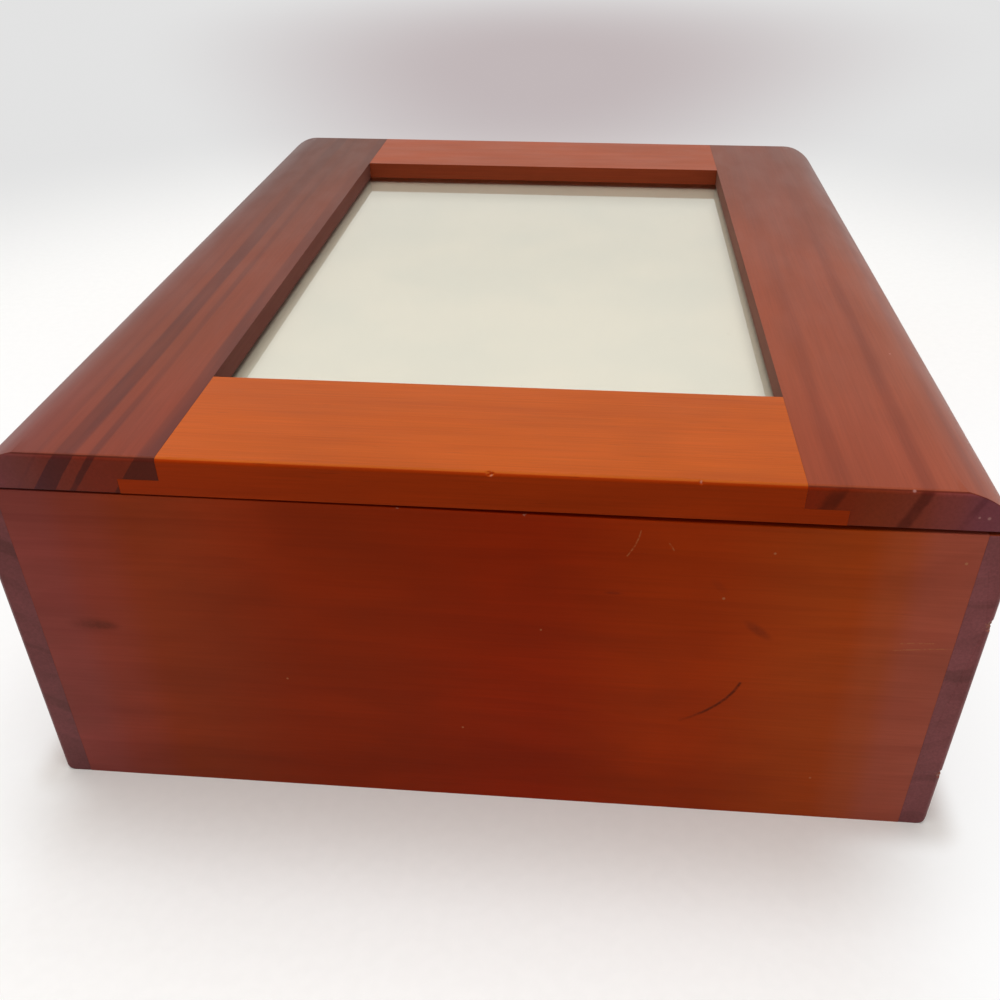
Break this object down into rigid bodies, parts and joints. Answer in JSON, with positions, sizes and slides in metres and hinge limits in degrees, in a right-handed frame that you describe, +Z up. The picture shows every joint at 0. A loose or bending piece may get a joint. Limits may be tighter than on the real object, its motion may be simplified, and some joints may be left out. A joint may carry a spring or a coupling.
{
  "type": "photo storage box",
  "caption": "Wooden storage box for photo prints, with let-in walls and a hinged, glazed frame lid that shows one print behind brass turn buttons.",
  "frame": {"origin": "middle of the base, on the surface that the box stands on", "axes": "+X to the right seen from the front, +Y to the hinged rear, +Z up"},
  "size_m": [0.196, 0.23, 0.0864],
  "materials": {
    "panel_wood": "satin",
    "side_wood": "satin",
    "stile_wood": "satin",
    "rail_wood": "satin",
    "bottom_plywood": "matte",
    "felt": "matte",
    "window_glass": "gloss",
    "blank_sheet": "matte",
    "backing_card": "matte",
    "brass": "satin",
    "steel": "satin"
  },
  "bodies": {
    "box": {"front_panel": "panel_wood", "rear_panel": "panel_wood", "left_side": "side_wood", "right_side": "side_wood", "bottom_panel": "bottom_plywood", "bottom_brads": "steel", "floor_felt": "felt", "left_hinge_wall_leaf": "brass", "right_hinge_wall_leaf": "brass", "left_hinge_pin": "steel", "right_hinge_pin": "steel", "hinge_wall_screws": "brass"},
    "lid": {"left_stile": "stile_wood", "right_stile": "stile_wood", "front_rail": "rail_wood", "rear_rail": "rail_wood", "glass_pane": "window_glass", "photo_insert": "blank_sheet", "backing_board": "backing_card", "left_hinge_lid_leaf": "brass", "right_hinge_lid_leaf": "brass", "hinge_lid_screws": "brass", "turn_button_screws": "brass"},
    "front_turn_button": {"front_turn_button": "brass"},
    "rear_turn_button": {"rear_turn_button": "brass"},
    "left_turn_button": {"left_turn_button": "brass"},
    "right_turn_button": {"right_turn_button": "brass"}
  },
  "joints": [
    {"name": "lid_hinge", "type": "hinge", "parent": "box", "child": "lid", "pos_m": [0, 0.113, 0.0782], "axis": [-1, 0, 0], "range_deg": [0, 100]},
    {"name": "front_button_turn", "type": "hinge", "parent": "lid", "child": "front_turn_button", "pos_m": [0, -0.094, 0.0778], "axis": [0, 0, 1], "continuous": true},
    {"name": "rear_button_turn", "type": "hinge", "parent": "lid", "child": "rear_turn_button", "pos_m": [0, 0.094, 0.0778], "axis": [0, 0, 1], "continuous": true},
    {"name": "left_button_turn", "type": "hinge", "parent": "lid", "child": "left_turn_button", "pos_m": [-0.0715, 0, 0.0778], "axis": [0, 0, 1], "continuous": true},
    {"name": "right_button_turn", "type": "hinge", "parent": "lid", "child": "right_turn_button", "pos_m": [0.0715, 0, 0.0778], "axis": [0, 0, 1], "continuous": true}
  ]
}
